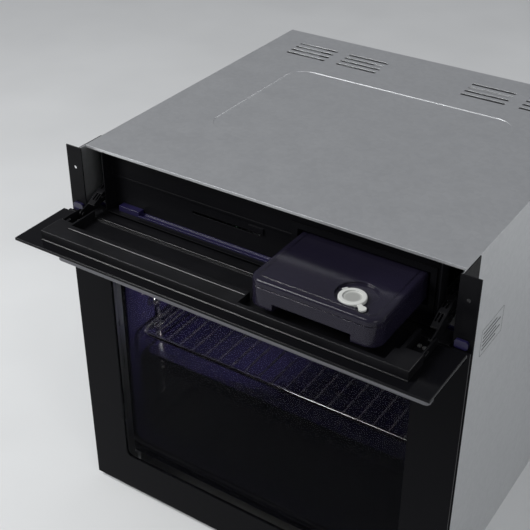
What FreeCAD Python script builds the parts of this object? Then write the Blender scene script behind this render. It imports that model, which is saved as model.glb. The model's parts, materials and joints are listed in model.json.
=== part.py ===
import FreeCAD, Part
import math
import os

# Built-in steam oven, 60 cm class, with a drop-down control panel and a removable water tank.
# Millimetres. X to the right, Y into the oven, Z up. The origin is the centre of the base plate's
# underside. The rest pose has the panel folded down flat and the tank pushed half out over it.

V = FreeCAD.Vector
os.makedirs("parts", exist_ok=True)

# ---------------------------------------------------------------- driving dimensions

FRONT_WIDTH = 595.0            # door glass, panel glass and mounting flanges
FRONT_Y = -280.0               # outer face of the door glass
BODY_WIDTH = 550.0
BODY_BACK = 260.0
BODY_TOP = 590.0
SHEET = 1.2                    # steel casing sheet
FLANGE_Y = -271.0              # front face of the mounting flanges
FLANGE_T = 1.5
SCREW_X = 285.0                # cabinet screw holes
SCREW_LOW = 60.0
SCREW_HIGH = 559.0
SCREW_HOLE_R = 2.5

CAVITY_WIDTH = 480.0
CAVITY_FLOOR = 82.0
CAVITY_CEILING = 439.0
CAVITY_BACK = 171.0
CAVITY_CORNER = 14.0
ENAMEL = 1.0
FRONT_PLATE_Y = -243.0
FRONT_PLATE_T = 1.5
PLATE_BACK = FRONT_PLATE_Y + FRONT_PLATE_T
INSULATION_BOTTOM = 60.0
INSULATION_TOP = 462.0

RACK_X = 234.0                 # upright wires of the side racks
RAIL_X = 229.7                 # wires that carry the shelves
RAIL_R = 2.0
RAIL_FIRST = 139.0             # lower wire of the lowest hairpin rail
RAIL_PITCH = 43.0
RAIL_LEVELS = 6
RAIL_GAP = 11.0
RAIL_FRONT = -195.0
RAIL_BACK = 130.0
PAN_LEVEL = 2
SHELF_LEVEL = 3

BAY_FLOOR = 498.5              # top of the shelf that carries the electrics
LINER_BACK = -240.0            # rear face of the compartment behind the panel
LINER_X = 245.0
LINER_T = 1.5

TANK_LEFT = 52.0
TANK_RIGHT = 221.5
TANK_FRONT = -358.5            # where the rest pose holds the tank, half out
TANK_LENGTH = 215.0
TANK_BOTTOM = 517.0
TANK_TOP = 555.0
TANK_LID = 10.0
TANK_WALL = 2.0
TANK_CORNER = 17.0
CAP_X = 173.0
CAP_Y = -329.0
CAP_R = 16.5
CAP_TAB = 29.0                 # from the cap's centre to the tip of its thumb tab
CAP_ANGLE = -35.0              # direction of the tab, from +X
RECESS_X = 174.0
RECESS_Y = -321.0
RECESS_R = 25.0
RECESS_DEPTH = 3.0
FILL_R = 14.0
HOUSING_BACK = 32.0
HOUSING_WALL = 2.0
TANK_VALVE_X = 80.0
TANK_VALVE_Z = 523.0
DOCK_Y = 38.0
PUMP_Y = 92.0

PIVOT_Y = -295.0               # hinge of the control panel, panel open
PIVOT_Z = 507.0
PANEL_GLASS_FRONT = -382.0
PANEL_GLASS_BACK = -288.0
PANEL_GLASS_BOTTOM = 497.0
GLASS = 4.0
CARRIER_X = 264.0
CARRIER_FRONT = -366.0
CARRIER_BACK = -290.0
CARRIER_BOTTOM = PANEL_GLASS_BOTTOM + GLASS
CARRIER_TOP = 515.0
LEDGE_BACK = -335.0
LIP = 1.3                      # bead along the foot of the carrier's front face
ARM_X = 257.0                  # inner face of the arm plates
ARM_T = 2.0
ARM_SLOT_Z = 524.0
PIN_R = 3.0

DOOR_BOTTOM = 8.0
DOOR_TOP = 495.0
DOOR_HINGE_Y = -262.0
DOOR_HINGE_Z = 28.0
PROFILE_X0 = 240.0
PROFILE_X1 = 270.0
PROFILE_T = 2.0
INNER_GLASS_BACK = -248.0
HANDLE_X = 277.0
HANDLE_Y = -332.0
HANDLE_Z = 447.0
HANDLE_H = 14.0
HANDLE_D = 18.0
POST_X = 250.0

FAN_Z = 255.0
FAN_R = 70.0
RING_R = 88.0
RING_LEG_X = 12.0
BLOWER_Y = 105.0
BLOWER_Z = 542.0
BLOWER_SHAFT_R = 3.0

# ---------------------------------------------------------------- helpers

def box(x0, x1, y0, y1, z0, z1):
    """A block from its low and high side along each axis."""
    return Part.makeBox(x1 - x0, y1 - y0, z1 - z0, V(x0, y0, z0))


def mirrored(shape):
    """The shape on the other side of the oven's middle plane."""
    return shape.mirror(V(0, 0, 0), V(1, 0, 0))


def both_sides(shape):
    """A shape drawn on the right together with its mirror image."""
    return Part.makeCompound([shape, mirrored(shape)])


def rod(x, y, z, direction, radius, length):
    """A round bar that starts at a point and runs along a direction."""
    return Part.makeCylinder(radius, length, V(x, y, z), V(*direction))


def rod_x(x0, x1, y, z, radius):
    return rod(x0, y, z, (1, 0, 0), radius, x1 - x0)


def rod_y(x, y0, y1, z, radius):
    return rod(x, y0, z, (0, 1, 0), radius, y1 - y0)


def rod_z(x, y, z0, z1, radius):
    return rod(x, y, z0, (0, 0, 1), radius, z1 - z0)


def fuse(shapes):
    """One solid from several that touch or cross."""
    joined = shapes[0]
    for shape in shapes[1:]:
        joined = joined.fuse(shape)
    return joined.removeSplitter()


def cut(shape, tools):
    """A shape less each tool."""
    for tool in tools:
        shape = shape.cut(tool)
    return shape


def rounded(shape, radius, axis):
    """A shape with its straight edges along one axis rounded."""
    direction = V(*axis)
    edges = []
    for edge in shape.Edges:
        straight = edge.Curve.TypeId == "Part::GeomLine"
        if straight and abs(abs(edge.Curve.Direction.dot(direction)) - 1) < 1e-6:
            edges.append(edge)
    return shape.makeFillet(radius, edges)


def rounded_box(limits, radius, axis):
    return rounded(box(*limits), radius, axis)


def slot_z(x0, x1, y, radius, z0, z1):
    """A round-ended slot along X, cut through in Z."""
    middle = box(x0 + radius, x1 - radius, y - radius, y + radius, z0, z1)
    return fuse([middle, rod_z(x0 + radius, y, z0, z1, radius), rod_z(x1 - radius, y, z0, z1, radius)])


def slot_x(y0, y1, z, radius, x0, x1):
    """A round-ended slot along Y, cut through in X."""
    middle = box(x0, x1, y0 + radius, y1 - radius, z - radius, z + radius)
    return fuse([middle, rod_x(x0, x1, y0 + radius, z, radius), rod_x(x0, x1, y1 - radius, z, radius)])


def slot_y(x0, x1, z, radius, y0, y1):
    """A round-ended slot along X, cut through in Y."""
    middle = box(x0 + radius, x1 - radius, y0, y1, z - radius, z + radius)
    return fuse([middle, rod_y(x0 + radius, y0, y1, z, radius), rod_y(x1 - radius, y0, y1, z, radius)])


def plate_yz(points, x0, x1):
    """A flat plate whose outline is given as (y, z) points, between two X planes."""
    outline = [V(x0, y, z) for y, z in points]
    outline.append(outline[0])
    return Part.Face(Part.makePolygon(outline)).extrude(V(x1 - x0, 0, 0))


def bent_rod(points, bend, radius, closed=False):
    """A round bar through points, with tangent arcs of one bend radius at its corners."""
    count = len(points)
    corners = range(count) if closed else range(1, count - 1)
    edges = []
    start = points[0]
    first_end = None
    for i in corners:
        before = (points[i - 1] - points[i]).normalize()
        after = (points[(i + 1) % count] - points[i]).normalize()
        reach = bend / math.tan(before.getAngle(after) / 2)
        into = points[i] + before * reach
        out = points[i] + after * reach
        towards = (before + after).normalize()
        centre = points[i] + towards * math.hypot(bend, reach)
        middle = centre - towards * bend
        if first_end is None and closed:
            first_end = into
        else:
            edges.append(Part.makeLine(start, into))
        edges.append(Part.Arc(into, middle, out).toShape())
        start = out
    edges.append(Part.makeLine(start, first_end if closed else points[-1]))
    path = Part.Wire(edges)
    heading = edges[0].tangentAt(edges[0].FirstParameter)
    ring = Part.Wire(Part.makeCircle(radius, edges[0].Vertexes[0].Point, heading))
    return path.makePipeShell([ring], True, False)


def louvres(x0, x1, z_first, pitch, count, y0, y1):
    """A stack of round-ended slots through an upright sheet."""
    return [slot_y(x0, x1, z_first + pitch * i, 2.5, y0, y1) for i in range(count)]


def save(name, shape):
    """Write one sub-part."""
    shape.exportStep("parts/" + name + ".step")


# ---------------------------------------------------------------- casing

def base_plate():
    half = BODY_WIDTH / 2 - SHEET
    front = -236.0
    back = BODY_BACK - SHEET
    lip = 12.0
    plate = box(-half, half, front, back, 0, SHEET)
    lips = [box(s * half - (SHEET if s > 0 else 0), s * half + (0 if s > 0 else SHEET), front, back, 0, lip)
            for s in (-1, 1)]
    front_lip = box(-half, half, front, front + SHEET, 0, lip)
    vents = [slot_z(x, x + 60, y, 3, -1, SHEET + 1)
             for x in (-190, -95, 35, 130) for y in (-60, -40, 60, 80)]
    return cut(fuse([plate, front_lip] + lips), vents)


def side_panel():
    x1 = BODY_WIDTH / 2
    x0 = x1 - 1.0
    panel = box(x0, x1, FLANGE_Y + FLANGE_T, BODY_BACK, 0, BODY_TOP)
    hinge_notch = box(x0 - 1, x1 + 1, FLANGE_Y, -236, -1, 22)
    vents = [slot_x(y, y + 38, z, 2.5, x0 - 1, x1 + 1) for y in (90, 140, 190) for z in (512, 526, 540, 554)]
    lifting_hole = rounded_box((x0 - 1, x1 + 1, -30, 80, 470, 490), 8, (1, 0, 0))
    return cut(panel, vents + [hinge_notch, lifting_hole])


def rear_panel():
    half = BODY_WIDTH / 2 - SHEET
    panel = box(-half, half, BODY_BACK - SHEET, BODY_BACK, SHEET, BODY_TOP - SHEET)
    y0 = BODY_BACK - 4
    y1 = BODY_BACK + 1
    vents = louvres(-120, -20, 516, 12, 5, y0, y1) + louvres(20, 120, 516, 12, 5, y0, y1)
    vents += louvres(-60, 60, 90, 14, 4, y0, y1)
    gland = rod_y(-205, y0, y1, 556, 9.0)
    return cut(panel, vents + [gland])


def top_cover():
    half = BODY_WIDTH / 2 - SHEET
    front = -258.0
    back = BODY_BACK - SHEET
    under = BODY_TOP - SHEET
    plate = box(-half, half, front, back, under, BODY_TOP)
    lips = [box(-half, half, front, front + SHEET, under - 2.5, under)]
    for s in (-1, 1):
        inner = s * (half - SHEET)
        lips.append(box(min(inner, s * half), max(inner, s * half), front + 40, back, under - 12, under))
    vents = [slot_z(x, x + 70, y, 3, under - 1, BODY_TOP + 1)
             for x in (-230, -140, 70, 160) for y in (170, 184, 198, 212)]
    rib = rounded_box((-180, 180, -120, 120, BODY_TOP - 0.6, BODY_TOP + 1), 30, (0, 0, 1))
    return cut(fuse([plate] + lips), vents + [rib])


def mounting_flange():
    inner = BODY_WIDTH / 2 - 3
    outer = FRONT_WIDTH / 2
    bottom = 30.0
    strip = box(inner, outer, FLANGE_Y, FLANGE_Y + FLANGE_T, bottom, BODY_TOP)
    leg_x = BODY_WIDTH / 2
    leg = box(leg_x, leg_x + FLANGE_T, FLANGE_Y + FLANGE_T, -225, bottom, BODY_TOP)
    y0 = FLANGE_Y - 1
    y1 = FLANGE_Y + 5
    holes = [rod_y(SCREW_X, y0, y1, z, SCREW_HOLE_R) for z in (SCREW_LOW, SCREW_HIGH)]
    return cut(fuse([strip, leg]), holes)


def front_crossmember():
    half = BODY_WIDTH / 2 - SHEET
    top = BAY_FLOOR - SHEET
    web = box(-half, half, PLATE_BACK, PLATE_BACK + SHEET, 463, top)
    shelf = box(-half, half, PLATE_BACK, -214, top - SHEET, top)
    outlets = [rounded_box((x, x + 80, PLATE_BACK - 1, PLATE_BACK + 3, 469, 487), 8, (0, 1, 0))
               for x in (-195, -105, -15 - 25, 50, 115)]
    return cut(fuse([web, shelf]), outlets)


def bay_floor():
    half = BODY_WIDTH / 2 - SHEET
    plate = box(-half, half, PLATE_BACK, BODY_BACK - SHEET, BAY_FLOOR - SHEET, BAY_FLOOR)
    air_drop = box(-100, 80, 75, 135, BAY_FLOOR - 3, BAY_FLOOR + 1)
    hose_hole = rod_z(150, 215, BAY_FLOOR - 3, BAY_FLOOR + 1, 12)
    return cut(plate, [air_drop, hose_hole])


def cavity_support():
    foot = box(140, 175, 20, 190, SHEET, 2 * SHEET)
    web = box(140, 140 + SHEET, 20, 190, SHEET, INSULATION_BOTTOM)
    head = box(140, 175, 20, 190, INSULATION_BOTTOM - SHEET, INSULATION_BOTTOM)
    return fuse([foot, web, head])


def case_screws():
    heads = []
    for x in (-230, 0, 230):
        for z in (40, 300, 575):
            heads.append(rod_y(x, BODY_BACK, BODY_BACK + 2, z, 4))
    return Part.makeCompound(heads)


# ---------------------------------------------------------------- oven cavity

def cavity():
    half = CAVITY_WIDTH / 2
    shell = rounded_box((-half - ENAMEL, half + ENAMEL, PLATE_BACK, CAVITY_BACK + ENAMEL,
                         CAVITY_FLOOR - ENAMEL, CAVITY_CEILING + ENAMEL), CAVITY_CORNER + ENAMEL, (0, 1, 0))
    hollow = rounded_box((-half, half, PLATE_BACK - 1, CAVITY_BACK, CAVITY_FLOOR, CAVITY_CEILING),
                         CAVITY_CORNER, (0, 1, 0))
    y0 = CAVITY_BACK - 1
    y1 = CAVITY_BACK + 3
    holes = [rod_y(0, y0, y1, FAN_Z, 6), rod_y(-212, y0, y1, 392, 17), rod_y(212, y0, y1, 392, 6.2)]
    holes += [rod_y(x, y0, y1, ring_leg_z(), 4) for x in (-RING_LEG_X, RING_LEG_X)]
    holes += [rod_y(x, y0, y1, 426, 4) for x in (-30, 30)]
    return cut(shell, [hollow] + holes)


def cavity_front_plate():
    half = BODY_WIDTH / 2 - SHEET
    plate = box(-half, half, FRONT_PLATE_Y, PLATE_BACK, 50, BAY_FLOOR - SHEET)
    mouth = rounded_box((-CAVITY_WIDTH / 2, CAVITY_WIDTH / 2, FRONT_PLATE_Y - 1, PLATE_BACK + 1,
                         CAVITY_FLOOR, CAVITY_CEILING), CAVITY_CORNER, (0, 1, 0))
    outlets = [rounded_box((x, x + 80, FRONT_PLATE_Y - 1, PLATE_BACK + 3, 469, 487), 8, (0, 1, 0))
               for x in (-195, -105, -15 - 25, 50, 115)]
    return cut(plate, [mouth] + outlets)


def insulation_blanket():
    gap = 0.6
    half = CAVITY_WIDTH / 2 + ENAMEL + gap
    blanket = box(-262, 262, -239, 198, INSULATION_BOTTOM, INSULATION_TOP)
    hollow = box(-half, half, -240, CAVITY_BACK + ENAMEL + gap, 70, CAVITY_CEILING + ENAMEL + gap)
    back = CAVITY_BACK
    holes = [rod_y(0, back, 199, FAN_Z, 62), rod_y(-212, back, 199, 392, 24), rod_y(212, back, 199, 392, 9),
             box(-30, 30, back, 199, 152, 184), box(-45, 45, back, 199, 412, 440),
             box(-46, 46, back, 199, 70, 80)]
    return cut(blanket, [hollow] + holes)


def door_seal():
    def ring(x, low, high, y0, y1):
        outer = rounded_box((-x, x, y0, y1, low, high), 20, (0, 1, 0))
        return cut(outer, [rounded_box((-x + 6, x - 6, y0 - 1, y1 + 1, low + 6, high - 6), 14, (0, 1, 0))])
    return ring(254, CAVITY_FLOOR - 14, CAVITY_CEILING + 14, INNER_GLASS_BACK + 0.4, FRONT_PLATE_Y)


def rail_top(level):
    """Height on which a shelf or pan rests at one level."""
    return RAIL_FIRST + RAIL_PITCH * level + RAIL_GAP + RAIL_R


def shelf_rack():
    """Bent wire side rack, drawn on the right."""
    top = RAIL_FIRST + RAIL_PITCH * (RAIL_LEVELS - 1) + 30
    bottom = RAIL_FIRST - 30
    frame = bent_rod([V(RACK_X, RAIL_FRONT + 15, bottom), V(RACK_X, RAIL_FRONT + 15, top),
                      V(RACK_X, RAIL_BACK - 15, top), V(RACK_X, RAIL_BACK - 15, bottom)], 12, 2.5, True)
    pieces = [frame]
    for level in range(RAIL_LEVELS):
        z = RAIL_FIRST + RAIL_PITCH * level
        pieces.append(bent_rod([V(RAIL_X, RAIL_BACK, z), V(RAIL_X, RAIL_FRONT, z),
                                V(RAIL_X, RAIL_FRONT, z + RAIL_GAP), V(RAIL_X, RAIL_BACK, z + RAIL_GAP)],
                               5, RAIL_R))
    for y in (RAIL_FRONT + 15, RAIL_BACK - 15):
        for z in (bottom + 40, top - 40):
            pieces.append(rod_x(RACK_X, CAVITY_WIDTH / 2, y, z, 3.5))
    return fuse(pieces)


def wire_shelf():
    z = rail_top(SHELF_LEVEL) + 3.1
    half = 227.4
    front = -228.0
    back = 128.0
    corners = [V(-half, front, z), V(half, front, z), V(half, back, z), V(-half, back, z)]
    frame = bent_rod(corners, 14, 3.0, True)
    pieces = [frame]
    count = 19
    for i in range(count):
        x = -half + 2 * half * (i + 1) / (count + 1)
        pieces.append(rod_y(x, front, back, z + 1.2, 1.5))
    for y in (front + 110, back - 110):
        pieces.append(rod_x(-half, half, y, z - 1.2, 2.2))
    return fuse(pieces)


def universal_pan():
    rim_z = rail_top(PAN_LEVEL) + 0.1
    depth = 36.0
    rim = rounded_box((-230.5, 230.5, -222, 124, rim_z, rim_z + 5), 16, (0, 0, 1))
    well = rounded_box((-214, 214, -206, 108, rim_z - depth, rim_z + 1), 14, (0, 0, 1))
    hollow = rounded_box((-212.8, 212.8, -204.8, 106.8, rim_z - depth + 1.2, rim_z + 6), 12.8, (0, 0, 1))
    rim_well = rounded_box((-228.5, 228.5, -220, 122, rim_z + 1.2, rim_z + 6), 14, (0, 0, 1))
    return cut(fuse([rim, well]), [rim_well, hollow])


def fan_baffle():
    front = 147.0
    sheet = 1.2
    outer = rounded_box((-185, 185, front, CAVITY_BACK, 100, 414), 10, (0, 1, 0))
    hollow = rounded_box((-185 + sheet, 185 - sheet, front + sheet, CAVITY_BACK + 1, 100 + sheet,
                          414 - sheet), 10 - sheet, (0, 1, 0))
    slots = []
    for turn in range(12):
        slot = slot_z(14, 54, 0, 3.5, -3, 3)
        slot.rotate(V(0, 0, 0), V(1, 0, 0), 90)
        slot.rotate(V(0, 0, 0), V(0, 1, 0), 30 * turn)
        slot.translate(V(0, front, FAN_Z))
        slots.append(slot)
    for z in (150, 180, 330, 360):
        for s in (-1, 1):
            low = min(s * 178, s * 120)
            slots.append(slot_y(low, low + 58, z, 4, front - 1, front + 3))
    side_outlets = [box(x - 3, x + 3, front + 8, CAVITY_BACK - 4, 140, 370) for x in (-185, 185)]
    return cut(outer, [hollow] + slots + side_outlets)


def ring_leg_z():
    return FAN_Z - math.sqrt(RING_R ** 2 - RING_LEG_X ** 2)


def ring_heater():
    y = 160.0
    gap = math.degrees(math.asin(RING_LEG_X / RING_R))
    ring = Part.makeTorus(RING_R, 3.2, V(0, 0, 0), V(0, 0, 1), -180, 180, 360 - 2 * gap)
    ring.rotate(V(0, 0, 0), V(0, 0, 1), gap - 90)
    ring.rotate(V(0, 0, 0), V(1, 0, 0), 90)
    ring.translate(V(0, y, FAN_Z))
    legs = [rod_y(x, y - 3.8, 188, ring_leg_z(), 3.6) for x in (-RING_LEG_X, RING_LEG_X)]
    plate = box(-22, 22, CAVITY_BACK + ENAMEL, CAVITY_BACK + ENAMEL + 1.5, 157, 177)
    return fuse([ring, plate] + legs)


def grill_element():
    z = 426.0
    xy = [(-30, 188), (-30, 118), (-195, 118), (-195, -180), (-115, -180), (-115, 70), (-40, 70), (-40, -180),
          (40, -180), (40, 70), (115, 70), (115, -180), (195, -180), (195, 118), (30, 118), (30, 188)]
    return bent_rod([V(x, y, z) for x, y in xy], 22, 3.2)


def lower_heater():
    z = 75.0
    xy = [(-40, 190), (-40, 110), (-190, 110), (-190, -160), (190, -160), (190, 110), (40, 110), (40, 190)]
    return bent_rod([V(x, y, z) for x, y in xy], 22, 3.2)


def lamp_glass():
    """Screw-in glass cover of the oven lamp, with its neck through the rear wall."""
    cap = rod_y(-212, 161, CAVITY_BACK, 392, 22)
    neck = rod_y(-212, CAVITY_BACK, 190, 392, 16.5)
    return cut(fuse([cap, neck]), [rod_y(-212, 163, 191, 392, 14)])


def steam_nozzle():
    tube = rod_y(212, 160, 222, 392, 6)
    collar = rod_y(212, 166, CAVITY_BACK, 392, 13)
    return cut(fuse([tube, collar]), [rod_y(212, 159, 223, 392, 3.5)])


def convection_fan():
    disc = rod_y(0, 163.5, 165, FAN_Z, FAN_R)
    hub = rod_y(0, 153, 166, FAN_Z, 14)
    shaft = rod_y(0, 153, 200, FAN_Z, 4)
    pieces = [disc, hub, shaft]
    blades = 18
    for i in range(blades):
        blade = box(44, FAN_R - 1, 152, 164, -0.6, 0.6)
        blade.rotate(V(FAN_R - 1, 0, 0), V(0, 1, 0), 28)
        blade.rotate(V(0, 0, 0), V(0, 1, 0), 360.0 * i / blades)
        blade.translate(V(0, 0, FAN_Z))
        pieces.append(blade)
    return fuse(pieces)


def fan_motor():
    start = CAVITY_BACK + ENAMEL
    plate = rounded_box((-52, 52, start, start + 1.5, FAN_Z - 30, FAN_Z + 30), 8, (0, 1, 0))
    studs = [rod_y(x, start, 182, FAN_Z + z, 3) for x in (-36, 36) for z in (-16, 16)]
    body = rod_y(0, 180, 234, FAN_Z, 42)
    core = box(-46, 46, 190, 222, FAN_Z - 26, FAN_Z + 26)
    bore = rod_y(0, start - 1, 202, FAN_Z, 4.06)
    return cut(fuse([plate, body, core] + studs), [bore])


# ---------------------------------------------------------------- steam and air

def steam_generator():
    boiler = rounded_box((96, 196, 201, 249, 150, 300), 18, (0, 0, 1))
    flange = box(86, 206, 249, 252, 160, 290)
    feet = [box(x, x + 14, 252, BODY_BACK - SHEET, z, z + 14) for x in (90, 188) for z in (164, 272)]
    outlet = rod_z(180, 225, 299, 310, 7)
    return fuse([boiler, flange, outlet] + feet)


def water_hoses():
    """Feed hose from the tank dock to the pump, and the drop from the pump to the steam generator."""
    z = TANK_VALVE_Z
    feed = bent_rod([V(110, DOCK_Y, z), V(140, DOCK_Y, z), V(140, PUMP_Y, z), V(154, PUMP_Y, z)], 12, 4)
    drop = bent_rod([V(196, PUMP_Y, z), V(218, PUMP_Y, z), V(218, 215, z), V(150, 215, z), V(150, 215, 300)],
                    18, 4)
    return Part.makeCompound([feed, drop])


def water_pump():
    body = rod_x(154, 196, PUMP_Y, TANK_VALVE_Z, 16)
    coil = box(162, 188, PUMP_Y - 22, PUMP_Y + 22, 503, 543)
    foot = box(152, 200, PUMP_Y - 26, PUMP_Y + 26, BAY_FLOOR, 503)
    return fuse([body, coil, foot])


def air_duct():
    outer = box(-205, 205, PLATE_BACK + SHEET, 180, 464, 494)
    hollow = box(-204, 204, PLATE_BACK, 179, 465, 493)
    collar = box(-101, 81, 74, 136, 494, BAY_FLOOR - SHEET)
    return cut(fuse([outer, collar]), [hollow, box(-100, 80, 75, 135, 490, 500)])


def blower_housing():
    wall = 1.2
    outer = rounded_box((-112, 92, 52, 158, BAY_FLOOR, 584), 24, (1, 0, 0))
    foot = box(-112, 92, 52, 158, BAY_FLOOR, BAY_FLOOR + 26)
    hollow = rounded_box((-112 + wall, 92 - wall, 52 + wall, 158 - wall, BAY_FLOOR - 1, 584 - wall), 22,
                         (1, 0, 0))
    foot_hollow = box(-112 + wall, 92 - wall, 52 + wall, 158 - wall, BAY_FLOOR - 1, BAY_FLOOR + 26)
    intake = [box(-96, 76, 150, 160, z, z + 8) for z in (512, 528, 544, 560)]
    shell = cut(fuse([outer, foot]), [hollow, foot_hollow] + intake)
    motor = rod_x(92 - wall, 128, BLOWER_Y, BLOWER_Z, 24)
    bearing = rod_x(-116, -112 + wall, BLOWER_Y, BLOWER_Z, 9)
    shaft_bore = rod_x(-117, 120, BLOWER_Y, BLOWER_Z, BLOWER_SHAFT_R + 0.06)
    return cut(fuse([shell, motor, bearing]), [shaft_bore])


def blower_wheel():
    discs = [rod_x(x, x + 1.5, BLOWER_Y, BLOWER_Z, 32) for x in (-106, -11, 84.5)]
    shaft = rod_x(-115, 118, BLOWER_Y, BLOWER_Z, BLOWER_SHAFT_R)
    pieces = discs + [shaft]
    blades = 20
    for i in range(blades):
        blade = box(-106, 86, 24, 31.5, -0.6, 0.6)
        blade.rotate(V(0, 31.5, 0), V(1, 0, 0), 25)
        blade.rotate(V(0, 0, 0), V(1, 0, 0), 360.0 * i / blades)
        blade.translate(V(0, BLOWER_Y, BLOWER_Z))
        pieces.append(blade)
    return fuse(pieces)


# ---------------------------------------------------------------- electrics

def power_board():
    """Circuit board on its posts, with the transformer, relays, capacitors and plugs."""
    low = BAY_FLOOR + 9.6
    board = box(-234, -66, -204, 10, low - 1.6, low)
    posts = [rod_z(x, y, BAY_FLOOR, low - 1, 4) for x in (-228, -72) for y in (-198, 4)]
    transformer = box(-225, -175, -190, -145, low, low + 42)
    heat_sink = fuse([box(-150, -90, -190, -184, low, low + 38)] +
                     [box(x, x + 3, -184, -166, low, low + 38) for x in range(-150, -90, 9)])
    relays = [box(x, x + 20, -30, -4, low, low + 16) for x in (-226, -198, -170, -142, -114)]
    capacitors = [rod_z(x, -110, low, low + 30, 11) for x in (-210, -180)]
    connectors = [box(-120, -80, y, y + 10, low, low + 12) for y in (-130, -105, -80)]
    return fuse([board, transformer, heat_sink] + posts + relays + capacitors + connectors)


def mains_gland():
    barrel = rod_y(-205, 246, 270, 556, 8.6)
    collar = rod_y(-205, BODY_BACK, 264, 556, 13)
    nut = rod_y(-205, 252, BODY_BACK - SHEET, 556, 13)
    return cut(fuse([barrel, collar, nut]), [rod_y(-205, 245, 271, 556, 4.5)])


# ---------------------------------------------------------------- compartment behind the panel

def compartment_liner():
    front = -260.0
    outer = LINER_X + LINER_T
    top = 586.0
    wall_y = LINER_BACK - LINER_T
    floor = box(-outer, outer, front, LINER_BACK, BAY_FLOOR, BAY_FLOOR + LINER_T)
    back = box(-outer, outer, wall_y, LINER_BACK, BAY_FLOOR, top)
    walls = [box(min(s * LINER_X, s * outer), max(s * LINER_X, s * outer), front, LINER_BACK, BAY_FLOOR, top)
             for s in (-1, 1)]
    tank_gate = box(46, 228, wall_y - 1, LINER_BACK + 1, 511, 561)
    slit = slot_y(-113, -6, 530, 1.8, wall_y - 1, LINER_BACK + 1)
    latch = box(-24, -2, wall_y - 2.2, wall_y, 533, 541)
    step = box(-outer, 40, wall_y - 1.2, wall_y, 545, 548)
    return cut(fuse([floor, back, latch, step] + walls), [tank_gate, slit])


def drip_gutter():
    low = BAY_FLOOR + LINER_T
    front = -252.0
    back = LINER_BACK - LINER_T
    strip = box(-230, 36, front, back, low, low + 2.5)
    block = box(-230, -196, front, back, low, low + 8)
    channel = box(-194, 34, front + 2, back - 2, low + 1, low + 3)
    return cut(fuse([strip, block]), [channel])


def panel_stops():
    """Small buffers on the side flanges that the closed panel's glass comes to rest against."""
    y0 = FLANGE_Y - 4.2
    stop = rounded_box((275.5, 292, y0, FLANGE_Y, 495, 506), 3, (0, 1, 0))
    return both_sides(stop)


def tank_housing():
    wall = HOUSING_WALL
    x0 = TANK_LEFT - 6
    x1 = TANK_RIGHT + 6.5
    low = 511.0
    high = 561.0
    face = FRONT_PLATE_Y
    outer = box(x0, x1, LINER_BACK - LINER_T, HOUSING_BACK, low, high)
    hollow = box(x0 + wall, x1 - wall, -250, HOUSING_BACK - wall, low + wall, high - wall)
    collar = box(x0 - 6, x1 + 6, face, LINER_BACK - LINER_T, low - 6, high + 6)
    mouth = box(x0 + wall, x1 - wall, face - 1, -230, low + wall, high - wall)
    port = rod_y(TANK_VALVE_X, HOUSING_BACK - wall - 1, HOUSING_BACK + 1, TANK_VALVE_Z, 5)
    feet = [box(x, x + 20, y, y + 12, BAY_FLOOR, low) for x in (60, 190) for y in (-200, 0)]
    return cut(fuse([outer, collar] + feet), [hollow, mouth, port])


def tank_dock():
    """Valve block behind the tank bay, with the nozzle that the tank's spigot meets."""
    x = TANK_VALVE_X
    z = TANK_VALVE_Z
    block = box(x - 16, x + 18, HOUSING_BACK, HOUSING_BACK + 12, z - 11, z + 17)
    nozzle = rod_y(x, HOUSING_BACK - 6, HOUSING_BACK + 2, z, 4.6)
    spigot = rod_x(x + 17, 110, DOCK_Y, z, 5)
    channel = rod_y(x, HOUSING_BACK - 7, DOCK_Y, z, 2.5)
    return cut(fuse([block, nozzle, spigot]), [channel])


def panel_drive_motor():
    gearbox = rounded_box((-238, -188, -236, -212, 552, 584), 4, (0, 1, 0))
    motor = rod_y(-205, -212, -160, 570, 13)
    shaft = rod_x(-244, -238, -224, 568, 3)
    foot = box(-238, -188, -236, -233, 500, 552)
    return fuse([gearbox, motor, shaft, foot])


def arm_track():
    """Guide rail of one panel arm, drawn on the right."""
    x0 = ARM_X + ARM_T + 3
    wall = BODY_WIDTH / 2 - 1.0
    front = -214.0
    back = -108.0
    plate = box(x0, x0 + 2, front, back, 508, 542)
    flanges = [box(x0, wall, front, back, z, z + 1.5) for z in (508, 540.5)]
    guide = slot_x(-207, -118, ARM_SLOT_Z, PIN_R + 0.4, x0 - 1, x0 + 3)
    return cut(fuse([plate] + flanges), [guide])


# ---------------------------------------------------------------- control panel

def panel_arm():
    """Bent plate arm that carries the panel's hinge, drawn on the right."""
    x0 = ARM_X
    x1 = ARM_X + ARM_T
    eye_r = 5.6
    upper = [(PIVOT_Y, PIVOT_Z + eye_r), (-282, 517), (-262, 527), (-240, 536), (-140, 536)]
    lower = [(-140, 512), (-235, 512), (-262, 504), (PIVOT_Y, PIVOT_Z - eye_r)]
    web = plate_yz(upper + lower, x0, x1)
    eye = rod_x(x0, x1, PIVOT_Y, PIVOT_Z, eye_r)
    hood_x = x0 - 9
    hood = plate_yz([(-282, 517), (-262, 527), (-240, 536), (-150, 536), (-150, 534.5), (-240, 534.5),
                     (-262, 525.5), (-282, 515.5)], hood_x, x1)
    rollers = [rod_x(x1, x1 + 5.6, y, ARM_SLOT_Z, PIN_R) for y in (-200, -150)]
    web_slots = [slot_x(y, y + 11, z, 2, x0 - 1, x1 + 1) for y in (-258, -243, -228) for z in (514, 522)]
    hood_slots = []
    for y in (-275, -257, -239, -221):
        for x in (hood_x + 1.2, hood_x + 5.4):
            hood_slots.append(box(x, x + 2.4, y, y + 11, 512, 540))
    pivot_bore = rod_x(x0 - 1, x1 + 1, PIVOT_Y, PIVOT_Z, PIN_R + 0.05)
    solid = fuse([web, eye, hood] + rollers)
    keep_web = box(x0 - 0.01, x1 + 8, -300, -130, 490, 540)
    hood_slots = [slot.cut(keep_web) for slot in hood_slots]
    return cut(solid, web_slots + hood_slots + [pivot_bore])


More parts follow.
